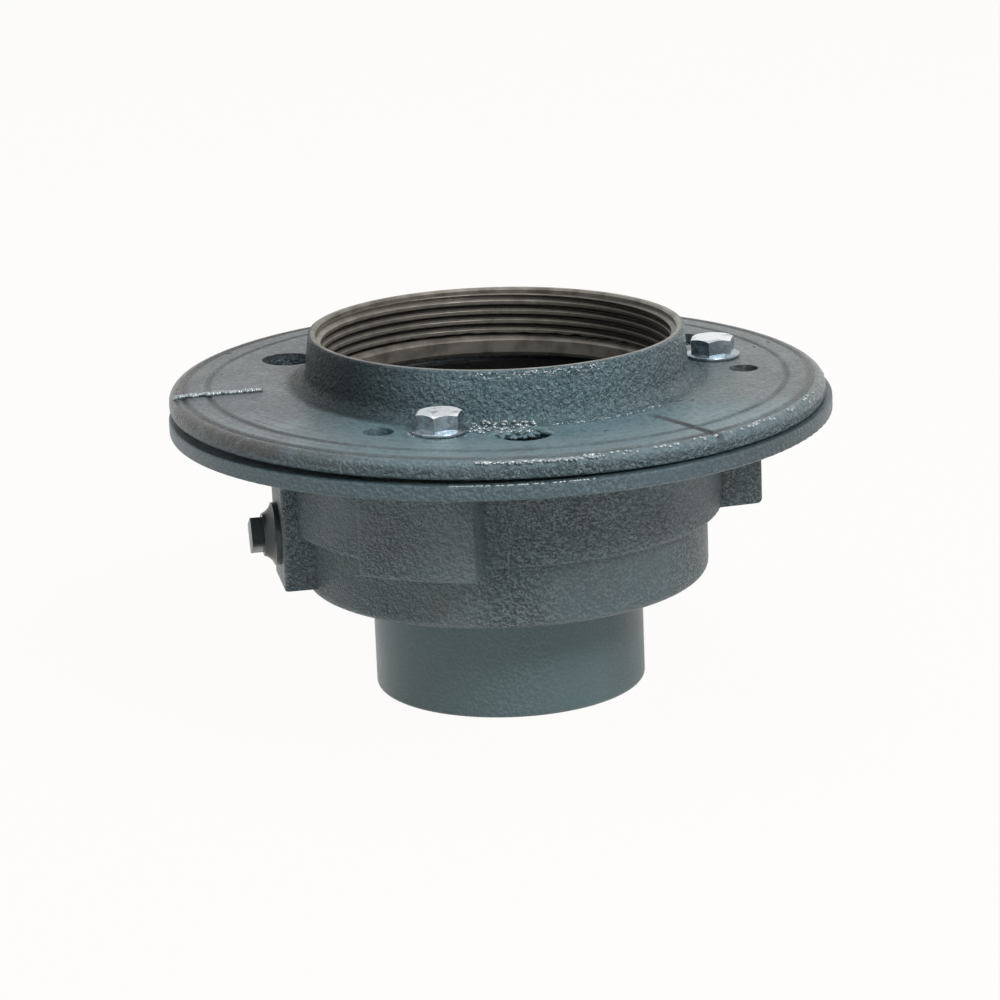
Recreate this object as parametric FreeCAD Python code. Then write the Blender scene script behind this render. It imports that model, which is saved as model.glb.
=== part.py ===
import FreeCAD, Part
import math
import os

# Cast iron floor drain: a body with an anchor rim and a plain outlet spigot, a clamping
# collar with a tapped neck, the collar's bolts and the plug of the trap primer tapping.
# Millimetres. The origin is the centre of the outlet's end ring, +Z is up.

os.makedirs("parts", exist_ok=True)

Vec = FreeCAD.Vector
UP = Vec(0, 0, 1)
ORIGIN = Vec(0, 0, 0)

# Pipe tapping in the neck, which sets the widths of the drain
tapping_diameter = 113.0
tapping_length = 15.6
tapping_chamfer = 0.6
thread_height = 1.6
neck_wall = 2.4
mouth_margin = 0.5
bolt_to_neck = 11.8
shoulder_margin = 11.9
bowl_step = 4.7
rim_width = 35.2
collar_inset = 1.2

# Outlet spigot
outlet_diameter = 86.0
outlet_wall = 5.0
outlet_length = 35.2
outlet_edge_round = 1.3

# Bowl and the wider shoulder above it
bowl_height = 20.7
bowl_edge_round = 3.0
bowl_wall = 5.9
shoulder_height = 31.0
shoulder_edge_round = 1.2
floor_thickness = 6.0
floor_fall = 2.0

# Anchor rim round the top of the body
rim_thickness = 4.75
rim_edge_round = 0.6
rim_root_round = 2.0
mouth_chamfer = 1.2

# Lugs under the rim that carry the bolts
lug_wall = 10.9
lug_half_width = 18.4
lug_side_offset = -6.8
lug_height = 31.6
lug_round = 1.6

# Trap primer boss on the side of the bowl
primer_angle = -170.0
primer_height = 54.0
primer_boss_reach = 3.6
primer_boss_width = 25.6
primer_boss_drop = 15.6
primer_boss_round = 1.4
primer_tap_depth = 11.0
primer_passage_diameter = 15.0

# Primer plug
plug_diameter = 19.8
plug_engagement = 9.5
plug_stand_out = 1.7
plug_flare_length = 3.2
plug_square = 9.5
plug_square_length = 3.9
plug_turn = 29.0
plug_edge = 0.8

# Clamping collar, which lies a little askew on the rim
collar_edge_thickness = 5.4
collar_crown = 0.6
collar_crown_share = 0.84
collar_edge_round = 3.0
collar_foot_width = 3.25
collar_foot_height = 0.5
collar_tilt = 0.7
collar_high_side = 170.5
collar_shift = 0.9
seat_clearance = 0.05

# Rings turned in the collar's face, each a distance in from the edge, a width and a depth
ring_marks = [(4.3, 2.2, 0.6), (12.1, 2.0, 0.5)]

# Neck of the collar
neck_height = 15.8
neck_draft = 1.5
neck_root_round = 4.5
neck_edge_round = 0.7
bore_chamfer = 1.2

# What repeats with each bolt: distances outside the bolt circle, sizes and angles from the bolt.
# The weep holes are placed less evenly, so each has its own distance and angle.
bolt_count = 3
first_bolt_angle = -104.9
weep_diameter = 9.2
weep_spots = [(4.7, -13.3), (6.9, -14.5), (5.8, -13.9)]
core_outset = 2.8
core_diameter = 17.0
core_lead = 20.5
channel_outset = 3.8
channel_lead = 54.0
channel_width = 2.8
channel_depth = 0.8

# Collar bolts with a hexagon head on a round flange
bolt_diameter = 7.94
bolt_length = 25.4
bolt_slack = 0.3
bolt_head_flats = 12.7
bolt_head_height = 6.2
bolt_flange_diameter = 17.2
bolt_flange_edge = 0.9
bolt_flange_rise = 0.9
bolt_end_chamfer = 0.8
bolt_turns = [17.0, 18.0, 8.0]
thread_clearance = 0.05
drill_point_angle = 118.0

# Radii that follow from the sizes above
outlet_radius = outlet_diameter / 2
tapping_radius = tapping_diameter / 2
neck_radius = tapping_radius + neck_wall
mouth_radius = tapping_radius + mouth_margin
shoulder_radius = mouth_radius + shoulder_margin
bowl_radius = shoulder_radius - bowl_step
rim_radius = shoulder_radius + rim_width
collar_radius = rim_radius - collar_inset
foot_radius = neck_radius + collar_foot_width
bolt_circle_radius = neck_radius + bolt_to_neck
lug_radius = bolt_circle_radius + lug_wall
primer_face = shoulder_radius + primer_boss_reach
bolt_hole = bolt_diameter + 2 * (collar_shift + bolt_slack)
spot_face_radius = bolt_flange_diameter / 2 + collar_shift + bolt_slack

# Levels that follow, from the bottom up
tilt = math.radians(collar_tilt)
z_bowl = outlet_length
z_shoulder = z_bowl + bowl_height
z_rim = z_shoulder + shoulder_height
z_deck = z_rim + rim_thickness
z_lug = z_rim - lug_height
z_primer_boss = primer_height - primer_boss_drop
z_lip = z_deck + collar_radius * math.sin(tilt) + seat_clearance
z_foot = z_lip - collar_foot_height
z_edge = z_lip + collar_edge_thickness
z_crown = z_edge + collar_crown
z_neck = z_crown + neck_height


# Share of a straight side that the roundings at its two ends may use up together
round_share = 0.96


def rounded_face(corners, place):
    """Face inside a closed outline. Each corner is (a, b, radius), and place turns (a, b) to a point."""
    flat = [Vec(a, b, 0) for a, b, radius in corners]
    count = len(flat)
    back = [flat[i - 1] - flat[i] for i in range(count)]
    ahead = [flat[(i + 1) % count] - flat[i] for i in range(count)]
    halves = [back[i].getAngle(ahead[i]) / 2 for i in range(count)]
    wanted = [corners[i][2] / math.tan(halves[i]) for i in range(count)]
    edges = []
    ends = []
    for i, here in enumerate(flat):
        half = halves[i]
        reach = wanted[i]
        if reach < 1e-3:
            ends.append((here, here, None))
            continue
        for length, other in ((back[i].Length, wanted[i - 1]), (ahead[i].Length, wanted[(i + 1) % count])):
            reach = min(reach, round_share * length * wanted[i] / (wanted[i] + other))
        start = here + Vec(back[i]).normalize() * reach
        end = here + Vec(ahead[i]).normalize() * reach
        middle = (start + end) / 2
        centre = here + (middle - here) * (1 / math.cos(half) ** 2)
        top = centre + (here - centre).normalize() * (reach * math.tan(half))
        ends.append((start, end, top))
    for i, (start, end, top) in enumerate(ends):
        before = ends[i - 1][1]
        if (start - before).Length > 1e-4:
            edges.append(Part.LineSegment(place(before), place(start)).toShape())
        if top is not None:
            edges.append(Part.Arc(place(start), place(top), place(end)).toShape())
    return Part.Face(Part.Wire(edges))


def turned(corners):
    """Solid of revolution about Z from corners (radius, height, rounding)."""
    face = rounded_face(corners, lambda p: Vec(p.x, 0, p.y))
    return face.revolve(ORIGIN, UP, 360)


def block(corners, z_low, z_high):
    """Upright prism from corners (x, y, rounding)."""
    face = rounded_face(corners, lambda p: Vec(p.x, p.y, z_low))
    return face.extrude(UP * (z_high - z_low))


def round_hole(radius, x, y, z_low, z_high):
    return Part.makeCylinder(radius, z_high - z_low, Vec(x, y, z_low), UP)


def spun(shape, angle):
    """A copy of the shape turned about Z."""
    copy = shape.copy()
    copy.rotate(ORIGIN, UP, angle)
    return copy


def polar(radius, angle):
    turn = math.radians(angle)
    return radius * math.cos(turn), radius * math.sin(turn)


def around():
    """The direction of each bolt."""
    return [first_bolt_angle + 360.0 / bolt_count * i for i in range(bolt_count)]


def set_down(shape):
    """The shape as the collar lies: leaning, with one side higher, and moved a little that way."""
    copy = shape.copy()
    high_side = Vec(*polar(1, collar_high_side), 0)
    copy.rotate(Vec(0, 0, z_deck), high_side.cross(UP), collar_tilt)
    copy.translate(high_side * collar_shift)
    return copy


def seat_height(x, y, reach):
    """Height at which a level disc of radius reach meets the leaning face of the collar."""
    high_side = Vec(*polar(1, collar_high_side), 0)
    rise = high_side.dot(Vec(x, y, 0)) - collar_shift + reach
    return z_deck + (z_crown - z_deck) / math.cos(tilt) + rise * math.tan(tilt)


def body_outside():
    outline = [
        (0, 0, 0),
        (outlet_radius, 0, outlet_edge_round),
        (outlet_radius, z_bowl, 1.0),
        (bowl_radius, z_bowl, bowl_edge_round),
        (bowl_radius, z_shoulder, 0.8),
        (shoulder_radius, z_shoulder, shoulder_edge_round),
        (shoulder_radius, z_rim, rim_root_round),
        (rim_radius, z_rim, rim_edge_round),
        (rim_radius, z_deck, rim_edge_round),
        (0, z_deck, 0),
    ]
    return turned(outline)


def body_cavity():
    """Mouth, bowl and outlet bore as one solid to take out of the body."""
    shoulder_inside = shoulder_radius - bowl_wall
    bowl_inside = bowl_radius - bowl_wall
    z_floor = z_bowl + floor_thickness
    below = -outlet_edge_round
    above = z_deck + mouth_chamfer
    outline = [
        (0, below, 0),
        (outlet_radius - outlet_wall, below, 0),
        (outlet_radius - outlet_wall, z_floor - floor_fall, 3.0),
        (bowl_inside, z_floor, 4.0),
        (bowl_inside, z_shoulder + 0.5 * bowl_wall, 3.0),
        (shoulder_inside, z_shoulder + bowl_wall, 3.0),
        (shoulder_inside, z_rim - 0.5 * bowl_wall, 2.0),
        (mouth_radius, z_rim, 1.0),
        (mouth_radius, z_deck - mouth_chamfer, 0),
        (mouth_radius + 2 * mouth_chamfer, above, 0),
        (0, above, 0),
    ]
    return turned(outline)


def bolt_lug():
    """Lug for a bolt on the +X side: straight sides, a curved face and rounded outer edges."""
    low_side = lug_side_offset - lug_half_width
    high_side = lug_side_offset + lug_half_width
    inner = outlet_radius
    outline = [
        (inner, low_side, 0),
        (rim_radius, low_side, 0),
        (rim_radius, high_side, 0),
        (inner, high_side, 0),
    ]
    prism = block(outline, z_lug, z_rim + rim_thickness / 2)
    disc = Part.makeCylinder(lug_radius, z_deck)
    lug = prism.common(disc)
    outer = []
    for edge in lug.Edges:
        points = [v.Point for v in edge.Vertexes]
        reach = min(math.hypot(p.x, p.y) for p in points)
        if reach > lug_radius - 1e-3 and min(p.z for p in points) < z_lug + 1e-3:
            outer.append(edge)
    return lug.makeFillet(lug_round, outer)


def primer_boss():
    """Square boss for the primer tapping on the +X side."""
    half = primer_boss_width / 2
    inner = outlet_radius
    outline = [
        (inner, -half, 0),
        (primer_face, -half, primer_boss_round),
        (primer_face, half, primer_boss_round),
        (inner, half, 0),
    ]
    return block(outline, z_primer_boss, z_rim + rim_thickness / 2)


def primer_hole():
    """Tapped hole and passage through the boss into the bowl, on the +X side."""
    radius = plug_diameter / 2 + thread_clearance
    tap_end = primer_face - primer_tap_depth
    start = Vec(primer_face + plug_edge, 0, primer_height)
    inward = Vec(-1, 0, 0)
    tap = Part.makeCylinder(radius, primer_tap_depth + plug_edge, start, inward)
    into_bowl = tap_end - (bowl_radius - 2 * bowl_wall)
    mouth = Vec(tap_end + plug_edge, 0, primer_height)
    passage = Part.makeCylinder(primer_passage_diameter / 2, into_bowl + plug_edge, mouth, inward)
    return tap.fuse(passage)


def tapped_hole():
    """Blind hole with a drill point for a collar bolt, on the +X side."""
    radius = bolt_diameter / 2 + thread_clearance
    z_end = z_deck - bolt_length
    point = radius / math.tan(math.radians(drill_point_angle / 2))
    outline = [(0, z_end - point, 0), (radius, z_end, 0), (radius, z_crown, 0), (0, z_crown, 0)]
    hole = turned(outline)
    hole.translate(Vec(bolt_circle_radius, 0, 0))
    return hole


def drain_body():
    lug = bolt_lug()
    hole = tapped_hole()
    body = body_outside()
    body = body.fuse([spun(lug, angle) for angle in around()] + [spun(primer_boss(), primer_angle)])
    cuts = [body_cavity(), spun(primer_hole(), primer_angle)]
    cuts += [spun(hole, angle) for angle in around()]
    return body.cut(cuts).removeSplitter()


def ring_mark(inset, width, depth, crown_radius):
    """Corners of one turned ring in the collar's sloping face, from the outside in."""
    slope = collar_crown / (collar_radius - crown_radius)
    corners = []
    for shift, drop in ((-width / 2, 0), (0, depth), (width / 2, 0)):
        from_edge = inset + shift
        corners.append((collar_radius - from_edge, z_edge + slope * from_edge - drop, width / 4))
    return corners


def collar_blank():
    crown_radius = collar_radius * collar_crown_share
    bore_radius = tapping_radius - thread_height
    z_thread = z_neck - tapping_length
    outline = [
        (bore_radius + bore_chamfer, z_foot, 0),
        (foot_radius, z_foot, 0.4),
        (foot_radius, z_lip, 0.4),
        (collar_radius, z_lip, 1.0),
        (collar_radius, z_edge, collar_edge_round),
    ]
    for inset, width, depth in ring_marks:
        outline += ring_mark(inset, width, depth, crown_radius)
    outline += [
        (crown_radius, z_crown, 6.0),
        (neck_radius + neck_draft, z_crown, neck_root_round),
        (neck_radius, z_neck, neck_edge_round),
        (tapping_radius + tapping_chamfer, z_neck, 0),
        (tapping_radius, z_neck - tapping_chamfer, 0),
        (tapping_radius, z_thread, 0),
        (bore_radius, z_thread - thread_height, 0),
        (bore_radius, z_foot + bore_chamfer, 0),
    ]
    return turned(outline)


def weep_channel():
    """Shallow round-bottomed channel that deepens towards the collar's edge, on the +X side."""
    radius = (channel_width ** 2 / 4 + channel_depth ** 2) / (2 * channel_depth)
    start = Vec(bolt_circle_radius + channel_outset, 0, z_crown + radius)
    end = Vec(collar_radius, 0, z_edge - channel_depth + radius)
    run = end - start
    beyond = run * 1.1
    return Part.makeCylinder(radius, beyond.Length, start, run)


def clamping_collar():
    collar = collar_blank()
    channel = weep_channel()
    low = z_foot - collar_foot_height
    high = z_crown + neck_root_round
    cuts = []
    for angle in around():
        bolt_x, bolt_y = polar(bolt_circle_radius, angle)
        core_x, core_y = polar(bolt_circle_radius + core_outset, angle + core_lead)
        cuts.append(round_hole(bolt_hole / 2, bolt_x, bolt_y, low, high))
        cuts.append(round_hole(spot_face_radius, bolt_x, bolt_y, z_crown, high))
        cuts.append(round_hole(core_diameter / 2, core_x, core_y, low, high))
        cuts.append(spun(channel, angle + channel_lead))
    for angle, (outset, lag) in zip(around(), weep_spots):
        x, y = polar(bolt_circle_radius + outset, angle + lag)
        cuts.append(round_hole(weep_diameter / 2, x, y, low, high))
    return set_down(collar.cut(cuts).removeSplitter())


def bolt_head(turn):
    """Hexagon with a chamfered crown on a round flange, standing on z = 0."""
    corner = bolt_head_flats / 2 / math.cos(math.radians(30))
    points = [Vec(*polar(corner, 60 * i + turn), 0) for i in range(7)]
    hexagon = Part.Face(Part.makePolygon(points)).extrude(UP * bolt_head_height)
    flat = bolt_head_flats / 2
    fall = (corner - flat) * math.tan(math.radians(30))
    crown = turned([
        (0, 0, 0),
        (corner + 1, 0, 0),
        (corner + 1, bolt_head_height - fall - math.tan(math.radians(30)), 0),
        (flat, bolt_head_height, 0.4),
        (0, bolt_head_height, 0),
    ])
    flange_radius = bolt_flange_diameter / 2
    flange = turned([
        (0, 0, 0),
        (flange_radius, 0, 0.2),
        (flange_radius, bolt_flange_edge, 0.3),
        (flat, bolt_flange_edge + bolt_flange_rise, 0),
        (0, bolt_flange_edge + bolt_flange_rise, 0),
    ])
    return hexagon.common(crown).fuse(flange)


def collar_bolt(angle, turn):
    radius = bolt_diameter / 2
    shank = turned([
        (0, -bolt_length, 0),
        (radius - bolt_end_chamfer, -bolt_length, 0),
        (radius, bolt_end_chamfer - bolt_length, 0),
        (radius, bolt_flange_edge, 0),
        (0, bolt_flange_edge, 0),
    ])
    bolt = bolt_head(turn).fuse(shank).removeSplitter()
    x, y = polar(bolt_circle_radius, angle)
    bolt.translate(Vec(x, y, seat_height(x, y, bolt_flange_diameter / 2) + seat_clearance))
    return bolt


def primer_plug():
    """Tapered plug with a square head: turned part and square, both built along +Z."""
    radius = plug_diameter / 2
    corner = plug_square / math.sqrt(2)
    base = plug_stand_out
    neck = base + plug_flare_length
    end = Vec(0, 0, -plug_engagement)
    end_corner = Vec(radius - plug_edge, 0, -plug_engagement)
    side_start = Vec(radius, 0, plug_edge - plug_engagement)
    flare_start = Vec(radius, 0, base)
    flare_hollow = Vec(0.35 * radius + 0.65 * corner, 0, 0.6 * base + 0.4 * neck)
    flare_end = Vec(corner, 0, neck)
    top = Vec(0, 0, neck)
    profile = [
        Part.LineSegment(end, end_corner),
        Part.LineSegment(end_corner, side_start),
        Part.LineSegment(side_start, flare_start),
        Part.Arc(flare_start, flare_hollow, flare_end),
        Part.LineSegment(flare_end, top),
        Part.LineSegment(top, end),
    ]
    stem = Part.Face(Part.Wire([line.toShape() for line in profile])).revolve(ORIGIN, UP, 360)
    half = plug_square / 2
    outline = [(a * half, b * half, plug_edge) for a, b in ((1, 1), (-1, 1), (-1, -1), (1, -1))]
    square = block(outline, 0, neck + plug_square_length)
    plug = stem.fuse(square).removeSplitter()
    plug.rotate(ORIGIN, UP, plug_turn)
    plug.rotate(ORIGIN, Vec(0, 1, 0), 90)
    plug.translate(Vec(primer_face, 0, primer_height))
    return spun(plug, primer_angle)


pieces = {
    "drain_body": drain_body(),
    "clamping_collar": clamping_collar(),
    "primer_plug": primer_plug(),
}
for number, angle in enumerate(around(), start=1):
    turn = bolt_turns[(number - 1) % len(bolt_turns)]
    pieces[f"collar_bolt_{number}"] = collar_bolt(angle, turn)

for name, shape in pieces.items():
    solids = shape.Solids
    print(name, "solids", len(solids), "valid", shape.isValid(), "volume", round(shape.Volume))
    solid = solids[0] if len(solids) == 1 else shape
    solid.exportStep(f"parts/{name}.step")
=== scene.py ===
"""Looks of a cast iron floor drain: paint, machined thread, bolts, small casting marks, studio."""

import math
import random

import bpy
from mathutils import Matrix, Vector


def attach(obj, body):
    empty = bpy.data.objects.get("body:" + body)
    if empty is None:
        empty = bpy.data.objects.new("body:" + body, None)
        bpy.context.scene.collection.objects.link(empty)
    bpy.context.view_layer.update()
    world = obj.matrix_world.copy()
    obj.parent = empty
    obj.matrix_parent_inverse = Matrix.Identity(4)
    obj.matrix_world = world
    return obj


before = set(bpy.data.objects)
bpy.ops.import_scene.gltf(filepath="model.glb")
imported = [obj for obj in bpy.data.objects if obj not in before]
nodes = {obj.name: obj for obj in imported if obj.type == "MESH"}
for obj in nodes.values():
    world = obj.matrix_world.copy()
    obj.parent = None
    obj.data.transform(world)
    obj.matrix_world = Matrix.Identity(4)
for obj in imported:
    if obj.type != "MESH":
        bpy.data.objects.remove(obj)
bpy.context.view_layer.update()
MM = 0.001

# Camera: distance and angles measured from the photograph
CAMERA_PLACE = (0.0, -1.10007, 0.36407)
CAMERA_ELEVATION = 0.2365
CAMERA_ROLL = 0.0398
CAMERA_AIM_UP = 0.0345
CAMERA_AIM_SIDE = -0.0012
CAMERA_LENS = 129.6
CAMERA_SENSOR = 36.0

# The collar lies askew: same values as in the part's source
DECK_Z = 91.65 * MM
COLLAR_TILT = math.radians(0.7)
HIGH_SIDE = math.radians(170.5)
COLLAR_SHIFT = 0.9 * MM
COLLAR_RADIUS = 102.9 * MM
ROLL_RADIUS = 3.0 * MM
NECK_TOP = 114.76 * MM
CROWN_Z = 98.96 * MM
EDGE_Z = 98.36 * MM
NECK_RADIUS = 58.9 * MM
TAPPING_RADIUS = 56.5 * MM
THREAD_HEIGHT = 1.6 * MM
THREAD_PITCH = 25.4 / 8 * MM
THREAD_TOP = NECK_TOP - 1.7 * MM
THREAD_FOOT = NECK_TOP - 15.5 * MM
BOLT_CIRCLE = 70.7 * MM
BOLT_ANGLES = [math.radians(a) for a in (-104.9, 15.1, 135.1)]
CHANNEL_LEAD = math.radians(54)
CHANNEL_START = 69 * MM

# Turned rings on the collar's face, painted darker as dirt and painted shade: radius and half width
RING_DIRT_AND_SHADE = ((98.4 * MM, 2.2 * MM), (90.8 * MM, 2.0 * MM))
RING_RELIEF = 0.12 * MM

# The body: its steps, the face of the plug's boss, the mouth under the collar, the rim's edge
Z_SHOULDER = 55.9 * MM
Z_RIM = 86.9 * MM
Z_BOWL = 35.2 * MM
BOSS_FACE_X = -71.4 * MM
MOUTH_RADIUS = 57.9 * MM
MOUTH_LOW = 38 * MM
MOUTH_HIGH = 45 * MM
RIM_EDGE_RADIUS = 103.72 * MM
CHATTER_MARKS = 260

# The casting's skin: noise scales of its lumps and creases, its relief, and the step towards the light that
# finds which way a lump faces it, for painted light and shade
LUMP_SCALE = 880
CREASE_SCALE = 640
SKIN_RELIEF = 2.2 * MM
LIGHT_STEP = (0.2 * MM, -0.2 * MM, 0.42 * MM)

# Pits and nicks on the collar: radius, degrees, half length, half width, turn in degrees
COLLAR_NICKS = (
    # This first one, a dimple at the neck's foot on the left, is drawn long enough to take in the shadow beside
    # it: painted shade and shadow
    (63.8 * MM, -149.5, 2.4 * MM, 1.3 * MM, 35),
    (66.8 * MM, -35.9, 2.6 * MM, 0.5 * MM, 4),
    (79.0 * MM, -66.5, 0.8 * MM, 0.35 * MM, 10),
    (70.5 * MM, -33.0, 0.8 * MM, 0.35 * MM, 30),
    (97.0 * MM, 153.5, 1.3 * MM, 0.7 * MM, 40),
    (90.5 * MM, 149.0, 0.9 * MM, 0.3 * MM, 60),
    (88.0 * MM, 172.0, 0.9 * MM, 0.4 * MM, 80),
    (96.0 * MM, 23.0, 1.2 * MM, 0.35 * MM, 110),
    (88.5 * MM, 20.0, 1.5 * MM, 0.35 * MM, 100),
)
NICK_HEIGHT = 0.12 * MM

high_side = Vector((math.cos(HIGH_SIDE), math.sin(HIGH_SIDE), 0))
collar_turn = Matrix.Rotation(COLLAR_TILT, 4, high_side.cross(Vector((0, 0, 1))))
COLLAR_FRAME = (
    Matrix.Translation(high_side * COLLAR_SHIFT + Vector((0, 0, DECK_Z)))
    @ collar_turn
    @ Matrix.Translation((0, 0, -DECK_Z))
)

# Paint and metal tones, as linear colours
SLATE = (0.066, 0.112, 0.13)
SLATE_BODY = (0.135, 0.172, 0.18)
SLATE_WARM = (0.135, 0.132, 0.127)
SLATE_DARK = (0.022, 0.03, 0.033)
# Painted shade for the skin's creases and for the sides of its lumps that face away from the light
PAINTED_SHADE = (0.04, 0.056, 0.062)
# Light slate: a paler paint tone, also used as painted light on the sides of lumps that face the light and as
# the pale base of the glossy drops
SLATE_LIGHT = (0.24, 0.31, 0.33)
TEAL = (0.083, 0.14, 0.165)
# Lighter teal for the front of the flange and neck: painted light
TEAL_LIGHT = (0.15, 0.262, 0.3)
SPIGOT_TEAL = (0.098, 0.156, 0.165)
# Worn grey paint; the left one darker and the right one lighter as painted shade and light
GREY_LEFT = (0.076, 0.084, 0.093)
GREY_RIGHT = (0.125, 0.14, 0.137)
NECK_SHADE = (0.02, 0.028, 0.03)
SCUFF = (0.04, 0.035, 0.03)
BORE_IRON = (0.27, 0.25, 0.213)
BORE_SHADE = (0.13, 0.118, 0.1)
BORE_DARK = (0.02, 0.018, 0.015)
MOUTH_BLACK = (0.005, 0.005, 0.006)
NICK_BLACK = (0.012, 0.014, 0.015)
# White zinc for the tops of the bolts' heads: painted light
ZINC = (0.96, 0.98, 0.985)
ZINC_SHADE = (0.42, 0.49, 0.54)
ZINC_DARK = (0.2, 0.24, 0.27)
PLUG_BLACK = (0.04, 0.05, 0.054)
PLUG_OLIVE = (0.045, 0.05, 0.04)
BOSS_FACE = (0.3, 0.29, 0.27)

# Studio: paper white as the camera and reflections see it, and the dim world that lights the object
PAPER = (1.0, 0.99, 0.973)
FLOOR_WHITE = (0.86, 0.86, 0.855)
FLOOR_GLOW = 0.965
FLOOR_SIZE = 24.0
SKY = (0.9, 0.95, 1.0)
SKY_STRENGTH = 0.25
# Lamps: name, place, target, width, height, watts
LAMPS = (
    ("lamp_key", (0.95, -1.25, 1.55), (0, 0, 0.09), 0.75, 0.75, 26.0),
    ("lamp_top", (0.1, 0.2, 1.7), (0, 0, 0.1), 1.2, 1.0, 5.5),
    ("lamp_left", (-1.5, -0.7, 0.8), (0, 0, 0.08), 0.8, 0.9, 0.8),
)


def opaque(colour):
    """A plain colour with its alpha, or a socket as it is."""
    return (*colour, 1) if isinstance(colour, tuple) else colour


class Graph:
    """Short hand for building one material's nodes."""

    def __init__(self, name):
        self.material = bpy.data.materials.new(name)
        self.material.use_nodes = True
        self.tree = self.material.node_tree
        self.tree.nodes.clear()
        self.out = self.add("ShaderNodeOutputMaterial")
        self.shader = self.add("ShaderNodeBsdfPrincipled")
        self.link(self.shader.outputs["BSDF"], self.out.inputs["Surface"])
        coords = self.add("ShaderNodeTexCoord")
        self.place = coords.outputs["Object"]

    def add(self, kind, **settings):
        node = self.tree.nodes.new(kind)
        for key, value in settings.items():
            setattr(node, key, value)
        return node

    def link(self, source, target):
        if isinstance(source, bpy.types.NodeSocket):
            self.tree.links.new(source, target)
        else:
            target.default_value = source

    def math(self, operation, *values):
        node = self.add("ShaderNodeMath", operation=operation)
        for socket, value in zip(node.inputs, values):
            self.link(value, socket)
        return node.outputs[0]

    def times(self, product, *others):
        """Product of all the values."""
        for value in others:
            product = self.math("MULTIPLY", product, value)
        return product

    def inverse(self, share):
        """1 where share is 0, and 0 where it is 1."""
        return self.math("SUBTRACT", 1.0, share)

    def near(self, value, centre, far, close):
        """1 where value is within close of centre, 0 beyond far."""
        gap = self.math("ABSOLUTE", self.math("SUBTRACT", value, centre))
        return self.ramp(gap, far, close)

    def shifted(self, step):
        """The place moved by this step."""
        node = self.add("ShaderNodeVectorMath", operation="ADD")
        self.link(self.place, node.inputs[0])
        self.link(step, node.inputs[1])
        return node.outputs[0]

    def parts(self, vector):
        node = self.add("ShaderNodeSeparateXYZ")
        self.link(vector, node.inputs[0])
        return node.outputs

    def noise(self, scale, detail=3.0, rough=0.5, vector=None, distortion=0.0):
        node = self.add("ShaderNodeTexNoise")
        self.link(vector or self.place, node.inputs["Vector"])
        node.inputs["Scale"].default_value = scale
        node.inputs["Detail"].default_value = detail
        node.inputs["Roughness"].default_value = rough
        node.inputs["Distortion"].default_value = distortion
        return node.outputs["Fac"]

    def ramp(self, value, low, high, start=0.0, end=1.0):
        """Smooth step of value from start at low to end at high."""
        node = self.add("ShaderNodeMapRange", interpolation_type="SMOOTHSTEP")
        self.link(value, node.inputs["Value"])
        for key, number in (("From Min", low), ("From Max", high), ("To Min", start), ("To Max", end)):
            self.link(number, node.inputs[key])
        return node.outputs["Result"]

    def mix(self, share, a, b):
        """Colour a where share is 0, b where it is 1."""
        node = self.add("ShaderNodeMix", data_type="RGBA")
        self.link(share, node.inputs["Factor"])
        for key, colour in (("A", a), ("B", b)):
            socket = [s for s in node.inputs if s.name == key and s.type == "RGBA"][0]
            self.link(opaque(colour), socket)
        return [s for s in node.outputs if s.type == "RGBA"][0]

    def blend(self, share, a, b):
        """Number a where share is 0, b where it is 1."""
        node = self.add("ShaderNodeMix", data_type="FLOAT")
        self.link(share, node.inputs["Factor"])
        self.link(a, node.inputs[2])
        self.link(b, node.inputs[3])
        return node.outputs[0]

    def bump(self, height, distance, strength, normal=None):
        node = self.add("ShaderNodeBump")
        self.link(height, node.inputs["Height"])
        node.inputs["Distance"].default_value = distance
        self.link(strength, node.inputs["Strength"])
        if normal is not None:
            self.link(normal, node.inputs["Normal"])
        return node.outputs["Normal"]

    def finish(self, colour, roughness, metallic=0.0, normal=None, **more):
        self.link(opaque(colour), self.shader.inputs["Base Color"])
        self.link(roughness, self.shader.inputs["Roughness"])
        self.link(metallic, self.shader.inputs["Metallic"])
        if normal is not None:
            self.link(normal, self.shader.inputs["Normal"])
        for key, value in more.items():
            self.link(value, self.shader.inputs[key.replace("_", " ")])
        return self.material

    def collar_place(self):
        """Position in the collar's own frame."""
        node = self.add("ShaderNodeMapping", vector_type="TEXTURE")
        self.link(self.place, node.inputs["Vector"])
        node.inputs["Location"].default_value = COLLAR_FRAME.translation
        node.inputs["Rotation"].default_value = COLLAR_FRAME.to_euler()
        return node.outputs[0]

    def turned(self, x, y, angle):
        """Coordinates along and across a line at this angle."""
        c, s = math.cos(angle), math.sin(angle)
        along = self.math("ADD", self.times(x, c), self.times(y, s))
        across = self.math("SUBTRACT", self.times(y, c), self.times(x, s))
        return along, across

    def wave_round(self, x, y, count):
        """Waves that run round the axis, 0 to 1."""
        turn = self.times(self.math("ARCTAN2", y, x), count)
        return self.math("MULTIPLY_ADD", self.math("SINE", turn), 0.5, 0.5)

    def ring_vector(self, r):
        """Texture coordinates that change fast across a turned face and hardly along its rings."""
        node = self.add("ShaderNodeCombineXYZ")
        self.link(self.times(r, 560), node.inputs[0])
        self.link(self.times(self.noise(9, detail=1.0), 3.0), node.inputs[1])
        return node.outputs[0]

    def radius(self, x, y):
        return self.math("SQRT", self.math("ADD", self.times(x, x), self.times(y, y)))


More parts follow.
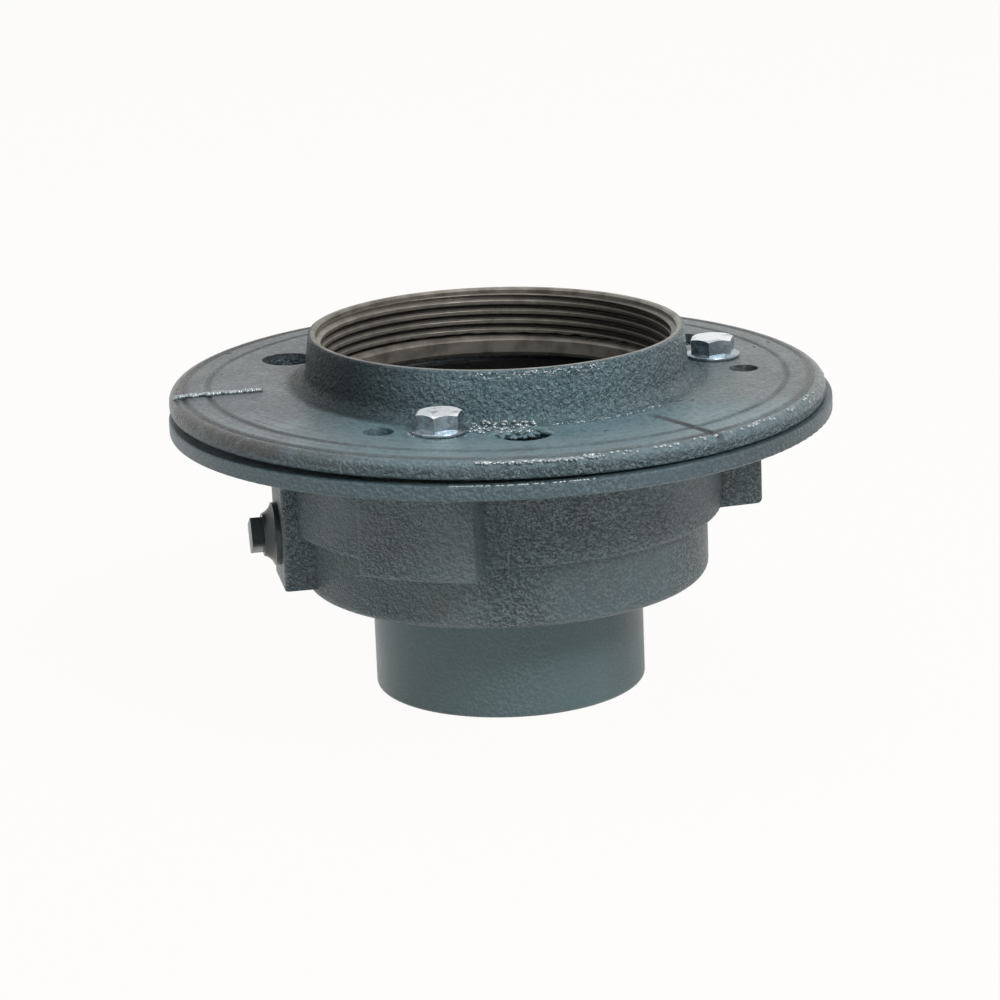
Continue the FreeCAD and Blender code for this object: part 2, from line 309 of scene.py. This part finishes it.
def cast_skin(graph):
    """Height of a painted sand casting's skin, how far its lumps face a light from the front, right and above
    for painted light and shade, and its creases.
    """
    settings = {"detail": 2.5, "rough": 0.58, "distortion": 0.5}
    lumps = graph.noise(LUMP_SCALE, **settings)
    ahead = graph.noise(LUMP_SCALE, vector=graph.shifted(LIGHT_STEP), **settings)
    light_facing = graph.math("SUBTRACT", lumps, ahead)
    creases = graph.near(graph.noise(CREASE_SCALE, detail=2.0, distortion=0.9), 0.5, 0.03, 0.004)
    height = graph.math("SUBTRACT", graph.times(lumps, 0.8), graph.times(creases, 0.1))
    return height, light_facing, creases


def relief_light_and_shade(graph, colour, light_facing, creases, share):
    """Painted shade in the creases and on the sides of the lumps that face away from the light, and painted
    light on the sides that face it.
    """
    shade_share = graph.math("MAXIMUM", graph.ramp(light_facing, 0.0, -0.09), graph.times(creases, 0.5))
    colour = graph.mix(graph.times(shade_share, share), colour, PAINTED_SHADE)
    return graph.mix(graph.times(graph.ramp(light_facing, 0.0, 0.1), share), colour, SLATE_LIGHT)


def body_paint():
    g = Graph("painted_iron_body")
    x, y, z = g.parts(g.place)
    r = g.radius(x, y)
    height, light_facing, creases = cast_skin(g)
    rim = g.ramp(z, Z_RIM - 0.8 * MM, Z_RIM + 0.2 * MM)
    spigot = g.ramp(z, Z_BOWL - 2 * MM, Z_BOWL, 1.0, 0.0)
    patches = g.ramp(g.noise(17, detail=2.0), 0.36, 0.6, 0.6, 1.0)
    right_side = g.times(g.ramp(x, 0.0, 20 * MM), g.ramp(x, 60 * MM, 45 * MM))
    low = g.ramp(z, Z_SHOULDER + 6 * MM, Z_SHOULDER - 6 * MM)
    calm = g.times(right_side, low, 0.65)
    coarse = g.times(patches, g.inverse(calm), g.inverse(g.times(rim, 0.6)), g.inverse(g.times(spigot, 0.72)))
    mottle = g.noise(30, detail=4.0, rough=0.6)
    colour = g.mix(g.ramp(mottle, 0.35, 0.7, 0.0, 0.4), SLATE_BODY, SLATE)
    colour = g.mix(g.ramp(g.noise(75, detail=3.0, rough=0.6), 0.5, 0.68, 0.0, 0.6), colour, SLATE_WARM)
    colour = g.mix(g.times(calm, 0.9), colour, SLATE)
    colour = g.mix(spigot, colour, SPIGOT_TEAL)
    colour = g.mix(rim, colour, SLATE)
    # Painted shade: the spigot's right side and the body's far right are darkened towards slate dark
    spigot_right = g.times(spigot, g.ramp(x, 26 * MM, 41 * MM, 0.0, 0.5))
    far_right = g.ramp(x, 35 * MM, 80 * MM, 0.0, 0.38)
    colour = g.mix(g.math("MAXIMUM", spigot_right, far_right), colour, SLATE_DARK)
    # Painted light and shade on the body's cast skin
    colour = relief_light_and_shade(g, colour, light_facing, creases, g.times(coarse, 0.85))
    chatter = g.times(rim, g.ramp(x, 60 * MM, 90 * MM), g.wave_round(x, y, CHATTER_MARKS))
    colour = g.mix(g.times(chatter, 0.6), colour, SLATE_DARK)
    boss = g.ramp(x, BOSS_FACE_X + 0.2 * MM, BOSS_FACE_X - 0.2 * MM)
    boss = g.times(boss, g.ramp(z, Z_RIM, Z_RIM - 1 * MM))
    boss_tone = g.ramp(g.noise(700, detail=3.0), 0.4, 0.6, 0.15, 0.9)
    colour = g.mix(g.times(boss, boss_tone), colour, BOSS_FACE)
    # The mouth inside the body under the collar is near black: its dark coat, darkened to near black as painted
    # shade
    inside = g.ramp(r, MOUTH_RADIUS - 0.3 * MM, MOUTH_RADIUS + 0.3 * MM, 1.0, 0.0)
    inside = g.times(inside, g.ramp(z, MOUTH_LOW, MOUTH_HIGH))
    colour = g.mix(inside, colour, MOUTH_BLACK)
    normal = g.bump(height, SKIN_RELIEF, coarse)
    rough = g.ramp(mottle, 0.3, 0.75, 0.32, 0.44)
    return g.finish(colour, rough, normal=normal, Specular_IOR_Level=g.blend(inside, 0.5, 0.2))


def collar_tones(g, x, y, front, top, neck, mottle, patch):
    """Lighter teal painted on the front of the flange and neck as painted light, and worn grey paint at both
    ends of the flange, darker at the left and lighter at the right as painted shade and light.
    """
    painted = g.mix(g.ramp(mottle, 0.35, 0.7), TEAL, SLATE)
    # Painted light: the front of the flange and of the neck is lighter teal
    lit_front = g.times(front, g.blend(top, g.times(neck, 0.9), 0.85))
    painted = g.mix(lit_front, painted, TEAL_LIGHT)
    left = g.ramp(x, -35 * MM, -68 * MM)
    right = g.times(g.ramp(x, 45 * MM, 78 * MM), g.ramp(y, -60 * MM, -25 * MM))
    grey = g.times(g.math("MAXIMUM", left, right), g.ramp(patch, 0.3, 0.55, 0.5, 1.0))
    grey = g.math("MAXIMUM", grey, g.ramp(patch, 0.6, 0.75, 0.0, 0.35))
    # Worn grey at the ends, darker at the left and lighter at the right as painted shade and light
    worn_grey_and_side_light = g.mix(g.ramp(x, -10 * MM, 10 * MM), GREY_LEFT, GREY_RIGHT)
    return g.mix(g.times(grey, top), painted, worn_grey_and_side_light)


def groove_dirt_and_shade(g, colour, x, y, r, top):
    """Rings where the face was turned, painted darker as dirt and painted shade, and painted shade in the
    bottoms of the radial channels.
    """
    for centre, width in RING_DIRT_AND_SHADE:
        ring_darkening = g.near(r, centre, width, 0.1 * width)
        ring_darkening = g.times(ring_darkening, top, g.ramp(g.noise(60), 0.3, 0.6, 0.35, 0.8))
        colour = g.mix(ring_darkening, colour, SLATE_DARK)
    for angle in BOLT_ANGLES:
        along, across = g.turned(x, y, angle + CHANNEL_LEAD)
        channel_shade = g.near(across, 0.6 * MM, 2.1 * MM, 0.9 * MM)
        channel_shade = g.times(channel_shade, g.ramp(along, CHANNEL_START, CHANNEL_START + 6 * MM), top, 0.85)
        colour = g.mix(channel_shade, colour, SLATE_DARK)
    return colour


def collar_paint():
    g = Graph("painted_iron_collar")
    x, y, z = g.parts(g.collar_place())
    r = g.radius(x, y)
    height, light_facing, creases = cast_skin(g)
    top = g.times(g.ramp(r, 64 * MM, 69 * MM), g.ramp(z, CROWN_Z - 3.6 * MM, CROWN_Z - 0.9 * MM))
    bead = g.times(g.ramp(r, 97 * MM, 99 * MM), g.ramp(z, CROWN_Z - 5 * MM, CROWN_Z - 3 * MM))
    neck = g.ramp(r, 68 * MM, 64 * MM)
    inside = g.ramp(r, NECK_RADIUS - 1.0 * MM, NECK_RADIUS - 0.6 * MM, 1.0, 0.0)
    front = g.ramp(y, -20 * MM, -60 * MM)
    rings = g.noise(1.0, detail=3.0, rough=0.65, vector=g.ring_vector(r))
    mottle = g.noise(34, detail=5.0, rough=0.6)
    patch = g.noise(55, detail=4.0, rough=0.65, distortion=0.8)
    dust = g.noise(520, detail=5.0, rough=0.78)
    colour = collar_tones(g, x, y, front, top, neck, mottle, patch)
    colour = g.mix(g.times(g.ramp(dust, 0.485, 0.44), 0.4), colour, SLATE_DARK)
    colour = g.mix(g.times(g.ramp(dust, 0.515, 0.57), 0.3), colour, SLATE_LIGHT)
    ringed = g.times(top, front, g.ramp(r, 78 * MM, 84 * MM))
    colour = g.mix(g.times(ringed, g.ramp(rings, 0.46, 0.56, 0.0, 0.5)), colour, SLATE_LIGHT)
    colour = g.mix(g.times(bead, front, 0.45), colour, SLATE)
    # Painted light and shade on the collar's cast skin, stronger in patches
    relief_strength = g.ramp(g.noise(24, detail=2.0), 0.3, 0.6, 0.6, 1.0)
    colour = relief_light_and_shade(g, colour, light_facing, creases, g.times(relief_strength, g.blend(top, 0.45, 0.25)))
    shade = g.times(neck, g.ramp(x, -12 * MM, -46 * MM))
    colour = g.mix(g.times(shade, 0.75), colour, NECK_SHADE)
    scuff = g.times(bead, g.ramp(x, -30 * MM, -80 * MM), g.ramp(patch, 0.36, 0.52))
    colour = g.mix(g.times(scuff, 0.85), colour, SCUFF)
    # Dirt and painted shade in the turned rings, painted shade in the channels
    colour = groove_dirt_and_shade(g, colour, x, y, r, top)
    iron = g.mix(g.ramp(g.noise(140, detail=5.0), 0.35, 0.7), BORE_IRON, BORE_SHADE)
    colour = g.mix(inside, colour, iron)
    skin = g.bump(height, SKIN_RELIEF, g.blend(inside, g.blend(top, 1.0, 0.35), 0.04))
    normal = g.bump(rings, RING_RELIEF, g.times(ringed, 0.6), skin)
    rough = g.blend(top, g.ramp(mottle, 0.3, 0.75, 0.24, 0.36), g.ramp(patch, 0.3, 0.7, 0.28, 0.42))
    rough = g.blend(inside, g.blend(bead, rough, 0.2), 0.36)
    level = g.blend(shade, 0.5, 0.1)
    return g.finish(colour, rough, metallic=g.times(inside, 0.3), normal=normal, Specular_IOR_Level=level)


def thread_iron():
    g = Graph("thread_iron")
    x, y, z = g.parts(g.collar_place())
    r = g.radius(x, y)
    # Painted shade: darker towards the roots of the thread, less so near its top
    root_shade = g.ramp(r, TAPPING_RADIUS - 0.5 * THREAD_HEIGHT, TAPPING_RADIUS - 0.1 * MM)
    root_shade = g.times(root_shade, g.ramp(z, THREAD_TOP - 0.3 * MM, THREAD_TOP - 2 * MM, 0.3, 1.0))
    mottle = g.noise(200, detail=5.0, rough=0.65)
    colour = g.mix(g.ramp(mottle, 0.35, 0.7, 0.0, 0.75), BORE_IRON, BORE_SHADE)
    colour = g.mix(root_shade, colour, BORE_DARK)
    # Painted shade on the right side of the bore
    colour = g.mix(g.ramp(x, 5 * MM, 40 * MM, 0.0, 0.6), colour, BORE_DARK)
    normal = g.bump(g.noise(1100, detail=3.0), 0.1 * MM, 0.6)
    return g.finish(colour, g.ramp(mottle, 0.3, 0.7, 0.28, 0.42), metallic=0.35, normal=normal)


def zinc():
    """Zinc plated steel, painted white and matte on top of the bolts' heads as painted light."""
    g = Graph("zinc_steel")
    facing = g.parts(g.add("ShaderNodeNewGeometry").outputs["True Normal"])[2]
    height = g.parts(g.collar_place())[2]
    # Painted light: the heads' upward faces are white and matte, the rest darker metallic zinc
    up = g.times(g.ramp(facing, 0.5, 0.95), g.ramp(height, CROWN_Z + 2.5 * MM, CROWN_Z + 4 * MM))
    mottle = g.noise(300, detail=4.0, rough=0.6)
    colour = g.mix(up, g.mix(g.ramp(mottle, 0.35, 0.7), ZINC_SHADE, ZINC_DARK), ZINC)
    stain = g.ramp(g.noise(210, detail=2.0), 0.56, 0.64, 0.0, 0.6)
    colour = g.mix(stain, colour, ZINC_DARK)
    normal = g.bump(g.noise(420, detail=2.0), 0.08 * MM, 0.5)
    rough = g.ramp(mottle, 0.3, 0.7, 0.18, 0.3)
    return g.finish(colour, rough, metallic=g.blend(up, 0.92, 0.0), normal=normal)


def plug_iron():
    g = Graph("dark_iron")
    z = g.parts(g.place)[2]
    mottle = g.noise(180, detail=4.0, rough=0.6)
    olive = g.times(g.ramp(z, 51 * MM, 49 * MM), g.ramp(mottle, 0.3, 0.6, 0.4, 1.0))
    olive = g.math("MAXIMUM", olive, g.ramp(mottle, 0.55, 0.75, 0.0, 0.5))
    colour = g.mix(olive, PLUG_BLACK, PLUG_OLIVE)
    normal = g.bump(g.noise(700, detail=3.0), 0.15 * MM, 0.6)
    return g.finish(colour, g.ramp(mottle, 0.3, 0.7, 0.25, 0.42), normal=normal)


def wet_paint_and_glints():
    g = Graph("paint_drops_and_glints")
    mottle = g.noise(600, detail=3.0)
    # Pale base colour so that the drops read as glints: wet paint partly coloured as a painted highlight
    colour = g.mix(g.ramp(mottle, 0.35, 0.7), SLATE_LIGHT, TEAL)
    return g.finish(colour, g.ramp(mottle, 0.3, 0.7, 0.08, 0.2), IOR=2.6)


def nick_paint():
    g = Graph("dark_marks")
    tone = g.ramp(g.noise(500), 0.3, 0.7)
    return g.finish(g.mix(tone, NICK_BLACK, SLATE_DARK), g.ramp(tone, 0, 1, 0.3, 0.5))


def paint_node(node, material):
    mesh = nodes[node].data
    mesh.materials.clear()
    mesh.materials.append(material)


def mesh_piece(name, vertices, faces, material, matrix=None):
    """A mesh from points in metres, riding with the drain."""
    mesh = bpy.data.meshes.new(name)
    if matrix is not None:
        vertices = [matrix @ Vector(v) for v in vertices]
    mesh.from_pydata(vertices, [], faces)
    mesh.materials.append(material)
    for face in mesh.polygons:
        face.use_smooth = True
    piece = bpy.data.objects.new(name, mesh)
    bpy.context.scene.collection.objects.link(piece)
    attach(piece, "root")
    return piece


def thread_depth(turn, z):
    """How far the thread stands in from the tapping's outer wall at this turn and height."""
    phase = (z / THREAD_PITCH - turn) % 1.0
    ridge = 0.5 - 0.5 * math.cos(2 * math.pi * phase)
    ridge = min(1.0, max(0.0, (ridge - 0.1) / 0.65))
    fade_top = min(1.0, (THREAD_TOP - z) / (0.2 * THREAD_PITCH))
    ragged = 0.5 + 0.2 * math.sin(74 * math.pi * turn)
    ragged += 0.3 * math.sin(106 * math.pi * turn + 1) * math.sin(14 * turn)
    fade_foot = min(1.0, (z - THREAD_FOOT - ragged * MM) / (0.12 * THREAD_PITCH))
    fade = max(0.0, min(fade_top, fade_foot))
    least = 0.04 * MM
    return least + (THREAD_HEIGHT - least) * ridge * fade


def thread_sleeve(material):
    """Closed ring with the spiral thread on its inner face."""
    around, up = 288, 110
    outer = TAPPING_RADIUS - 0.02 * MM
    vertices = []
    for i in range(around):
        turn = i / around
        c, s = math.cos(2 * math.pi * turn), math.sin(2 * math.pi * turn)
        vertices += [(outer * c, outer * s, THREAD_TOP), (outer * c, outer * s, THREAD_FOOT)]
        for j in range(up + 1):
            z = THREAD_FOOT + (THREAD_TOP - THREAD_FOOT) * j / up
            radius = outer - thread_depth(turn, z)
            vertices.append((radius * c, radius * s, z))
    row = up + 3
    faces = []
    for i in range(around):
        a, b = i * row, (i + 1) % around * row
        faces.append((a, b, b + 1, a + 1))
        faces.append((a + 1, b + 1, b + 2, a + 2))
        faces += [(a + 2 + j, b + 2 + j, b + 3 + j, a + 3 + j) for j in range(up)]
        faces.append((a + 2 + up, b + 2 + up, b, a))
    return mesh_piece("neck_thread_spiral", vertices, faces, material, COLLAR_FRAME)


def blobs(name, spots, material, matrix=None):
    """Small rounded drops. Each spot is (place, (half length, half width, half height), turn about Z)."""
    rings, around = 6, 12
    vertices = []
    faces = []
    for place, half, turn in spots:
        base = len(vertices)
        c, s = math.cos(turn), math.sin(turn)
        rows = []
        for i in range(1, rings):
            high = math.pi * i / rings
            for j in range(around):
                side = 2 * math.pi * j / around
                rows.append((math.sin(high) * math.cos(side), math.sin(high) * math.sin(side), math.cos(high)))
        for u, v, w in [(0, 0, 1)] + rows + [(0, 0, -1)]:
            u, v, w = u * half[0], v * half[1], w * half[2]
            vertices.append((place[0] + u * c - v * s, place[1] + u * s + v * c, place[2] + w))
        last = base + 1 + (rings - 1) * around
        for j in range(around):
            k = (j + 1) % around
            faces.append((base, base + 1 + j, base + 1 + k))
            for i in range(rings - 2):
                a = base + 1 + i * around
                faces.append((a + j, a + around + j, a + around + k, a + k))
            a = base + 1 + (rings - 2) * around
            faces.append((a + j, last, a + k))
    return mesh_piece(name, vertices, faces, material, matrix)


def crown_height(radius):
    """Height of the collar's face at this radius, in the collar's frame."""
    crown = 0.84 * COLLAR_RADIUS
    if radius <= crown:
        return CROWN_Z
    return CROWN_Z - (CROWN_Z - EDGE_Z) * (radius - crown) / (COLLAR_RADIUS - crown)


def polar(radius, degrees, height):
    turn = math.radians(degrees)
    return radius * math.cos(turn), radius * math.sin(turn), height


def drop(rng, radius, degrees, height, size, flat=0.6, long=1.0):
    """One bead of paint, lying any way round. Its size is in millimetres."""
    size *= MM
    turn = rng.uniform(0, math.pi)
    return polar(radius, degrees, height), (size * long, size, size * flat), turn


def channel_beads(rng):
    """A chain of beads in the channel on the left."""
    channel = math.degrees(BOLT_ANGLES[2] + CHANNEL_LEAD)
    count = 40
    spots = []
    for i in range(count):
        radius = (74.5 + 26.5 * i / (count - 1)) * MM
        side = math.degrees(rng.uniform(-0.7, 0.7) * MM / radius)
        height = crown_height(radius) + 0.25 * MM
        spots.append(drop(rng, radius, channel + side, height, rng.uniform(0.65, 1.1), 0.9))
    return spots


def lump_beads(rng):
    """Beads over the lump in the cored hole in front, where its edge runs into the foot of the neck."""
    spots = []
    for _ in range(90):
        degrees = rng.uniform(-97, -80)
        radius = rng.uniform(62.5, 72.5) * MM
        rise = max(0.0, 65.4 * MM - radius) * 0.42
        height = CROWN_Z + rise + 0.25 * MM
        size = rng.uniform(0.35, 0.75)
        spots.append(drop(rng, radius, degrees, height, size, 0.75, rng.uniform(1.0, 1.5)))
    return spots


def foot_run(rng):
    """A thin run along the foot of the neck on the right."""
    spots = []
    for _ in range(38):
        radius = (65.2 + rng.uniform(-0.8, 0.8)) * MM
        degrees = rng.uniform(-76, -42)
        spots.append(drop(rng, radius, degrees, CROWN_Z - 0.05 * MM, rng.uniform(0.2, 0.5), 0.6, 1.6))
    return spots


def bolt_beads(rng):
    """Beads round the flange of the front bolt."""
    bolt_x, bolt_y, height = polar(BOLT_CIRCLE, math.degrees(BOLT_ANGLES[0]), CROWN_Z - 0.15 * MM)
    count = 30
    spots = []
    for i in range(count):
        turn = math.radians(150 + 240 * i / (count - 1))
        reach = rng.uniform(8.7, 9.6) * MM
        x = bolt_x + COLLAR_SHIFT + reach * math.cos(turn)
        y = bolt_y + reach * math.sin(turn)
        size = rng.uniform(0.3, 0.5) * MM
        spots.append(((x, y, height), (1.3 * size, size, 0.6 * size), turn))
    return spots


def neck_specks(rng):
    """Specks along the top of the neck in front, and a few on its right."""
    spots = []
    for _ in range(70):
        degrees = rng.uniform(-101, -57)
        height = NECK_TOP - rng.uniform(0.6, 2.4) * MM
        size = rng.uniform(0.3, 0.5)
        spots.append(drop(rng, NECK_RADIUS - 0.05 * MM, degrees, height, size, 0.8, 1.3))
    for _ in range(16):
        degrees = rng.uniform(-22, 2)
        height = NECK_TOP - rng.uniform(1.0, 6.0) * MM
        size = rng.uniform(0.25, 0.45)
        spots.append(drop(rng, NECK_RADIUS + 0.1 * MM, degrees, height, size, 0.8, 1.2))
    return spots


def roll_drops(rng):
    """Pale glossy drops in a line on the collar's outer roll in front as a painted highlight, drops beside it,
    and more at its right end.
    """
    count = 120
    spots = []
    for i in range(count):
        share = rng.uniform(0, 1) ** 1.3
        in_highlight = i < count / 2
        inward = rng.uniform(1.2, 1.7 if in_highlight else 2.6) * MM
        lift = math.sqrt(max(0.0, ROLL_RADIUS ** 2 - (ROLL_RADIUS - inward) ** 2)) - ROLL_RADIUS
        degrees = rng.uniform(-94, -73) if in_highlight else -76 + 60 * share
        height = EDGE_Z + lift + 0.05 * MM
        size = rng.uniform(0.45, 0.7)
        spots.append(drop(rng, COLLAR_RADIUS - inward, degrees, height, size, 0.7, 2.4 if in_highlight else 1.3))
    for _ in range(40):
        radius = COLLAR_RADIUS - rng.uniform(0.45, 1.1) * MM
        degrees = rng.uniform(-26, 2)
        height = EDGE_Z - rng.uniform(1.2, 4.2) * MM
        spots.append(drop(rng, radius, degrees, height, rng.uniform(0.3, 0.5), 1.4))
    return spots


def rim_glint_line(rng):
    """Pale glossy drops along the front of the rim's upper edge, standing in for its highlight as a painted
    highlight.
    """
    spots = []
    for _ in range(70):
        size = rng.uniform(0.16, 0.3) * MM
        degrees = rng.uniform(-99, -75)
        place = polar(RIM_EDGE_RADIUS, degrees, DECK_Z - 0.12 * MM)
        spots.append((place, (size, 2.4 * size, size), math.radians(degrees)))
    return spots


def paint_drops_and_glints():
    """Wet looking runs and beads of paint, where the photograph shows them; some, pale and glossy, stand in for
    glints as painted highlights.
    """
    rng = random.Random(7)
    spots = []
    for group in (channel_beads, lump_beads, foot_run, bolt_beads, neck_specks, roll_drops):
        spots += group(rng)
    blobs("paint_drops_and_glints", spots, wet_paint_and_glints(), COLLAR_FRAME)
    blobs("rim_glint_drops", rim_glint_line(rng), wet_paint_and_glints())


def cast_lump(material):
    """Metal that ran into the back of the cored hole in front, with a chip standing up at its right end."""
    rng = random.Random(11)
    lumps = []
    for _ in range(110):
        radius = rng.uniform(64.5, 72.5) * MM
        size = rng.uniform(0.7, 1.5) * MM
        place = polar(radius, rng.uniform(-92, -79.5), CROWN_Z - rng.uniform(0.2, 1.4) * MM)
        half = (size * rng.uniform(1.3, 2.6), 0.8 * size, 0.55 * size)
        lumps.append((place, half, rng.uniform(0, math.pi)))
    chip = (3.4 * MM, 1.3 * MM, 1.0 * MM)
    lumps.append((polar(71.5 * MM, -80.6, CROWN_Z + 0.5 * MM), chip, math.radians(-18)))
    chip_end = (2.6 * MM, 1.0 * MM, 0.9 * MM)
    lumps.append((polar(73.5 * MM, -79.0, CROWN_Z - 0.1 * MM), chip_end, math.radians(-25)))
    blobs("cast_lump", lumps, material, COLLAR_FRAME)


def dark_marks():
    """Pits and nicks on the collar as shallow dark spots; the first also stands in for the shade in its dimple
    and the shadow beside it.
    """
    marks = []
    for radius, degrees, length, width, turn in COLLAR_NICKS:
        place = polar(radius, degrees, crown_height(radius) + 0.02 * MM)
        marks.append((place, (length, width, NICK_HEIGHT), math.radians(turn)))
    blobs("dark_marks", marks, nick_paint(), COLLAR_FRAME)


def studio_floor():
    """Pale floor that the camera and reflections see as nearly white, with the object's shadow on it."""
    bpy.ops.mesh.primitive_plane_add(size=FLOOR_SIZE, location=(0, 0, 0))
    floor = bpy.context.object
    floor.name = "studio_floor"
    g = Graph("studio_floor")
    seen = g.add("ShaderNodeLightPath")
    glow = g.add("ShaderNodeEmission")
    glow.inputs["Color"].default_value = opaque(PAPER)
    glow.inputs["Strength"].default_value = 1.0
    mixer = g.add("ShaderNodeMixShader")
    either = g.math("MAXIMUM", seen.outputs["Is Camera Ray"], seen.outputs["Is Glossy Ray"])
    g.link(g.times(either, FLOOR_GLOW), mixer.inputs[0])
    g.link(g.shader.outputs[0], mixer.inputs[1])
    g.link(glow.outputs[0], mixer.inputs[2])
    g.link(mixer.outputs[0], g.out.inputs["Surface"])
    floor.data.materials.append(g.finish(FLOOR_WHITE, g.ramp(g.noise(3.0), 0.3, 0.7, 0.75, 0.85)))


def background(tree, colour, strength):
    node = tree.nodes.new("ShaderNodeBackground")
    node.inputs["Color"].default_value = opaque(colour)
    node.inputs["Strength"].default_value = strength
    return node.outputs[0]


def surround():
    """White where the camera or a reflection sees it, dim where it lights the object."""
    world = bpy.data.worlds.new("studio_world")
    bpy.context.scene.world = world
    world.use_nodes = True
    tree = world.node_tree
    tree.nodes.clear()
    path = tree.nodes.new("ShaderNodeLightPath")
    seen = tree.nodes.new("ShaderNodeMath")
    seen.operation = "MAXIMUM"
    tree.links.new(path.outputs["Is Camera Ray"], seen.inputs[0])
    tree.links.new(path.outputs["Is Glossy Ray"], seen.inputs[1])
    either = tree.nodes.new("ShaderNodeMixShader")
    tree.links.new(seen.outputs[0], either.inputs[0])
    tree.links.new(background(tree, SKY, SKY_STRENGTH), either.inputs[1])
    tree.links.new(background(tree, PAPER, 1.0), either.inputs[2])
    out = tree.nodes.new("ShaderNodeOutputWorld")
    tree.links.new(either.outputs[0], out.inputs["Surface"])


def lamp(name, place, target, width, height, watts):
    data = bpy.data.lights.new(name, "AREA")
    data.shape = "RECTANGLE"
    data.size = width
    data.size_y = height
    data.energy = watts
    item = bpy.data.objects.new(name, data)
    item.location = place
    item.rotation_euler = (Vector(target) - Vector(place)).to_track_quat("-Z", "Y").to_euler()
    bpy.context.scene.collection.objects.link(item)


def camera():
    back = Vector((0, -math.cos(CAMERA_ELEVATION), math.sin(CAMERA_ELEVATION)))
    right = Vector((1, 0, 0))
    looking = Matrix((right, back.cross(right), back))
    aim = Matrix.Rotation(CAMERA_AIM_UP, 3, "X") @ Matrix.Rotation(CAMERA_AIM_SIDE, 3, "Y")
    turn = Matrix.Rotation(CAMERA_ROLL, 3, "Z") @ aim @ looking
    data = bpy.data.cameras.new("photo_camera")
    data.lens = CAMERA_LENS
    data.sensor_width = CAMERA_SENSOR
    data.clip_start = 0.05
    data.clip_end = 60.0
    item = bpy.data.objects.new("photo_camera", data)
    item.matrix_world = Matrix.Translation(CAMERA_PLACE) @ turn.transposed().to_4x4()
    bpy.context.scene.collection.objects.link(item)
    bpy.context.scene.camera = item


paint_node("drain_body", body_paint())
collar_material = collar_paint()
paint_node("clamping_collar", collar_material)
cast_lump(collar_material)
paint_node("primer_plug", plug_iron())
bolt_material = zinc()
for number in range(len(BOLT_ANGLES)):
    paint_node(f"collar_bolt_{number + 1}", bolt_material)
thread_sleeve(thread_iron())
paint_drops_and_glints()
dark_marks()

bpy.context.scene.view_settings.view_transform = "Standard"
studio_floor()
surround()
for settings in LAMPS:
    lamp(*settings)
camera()
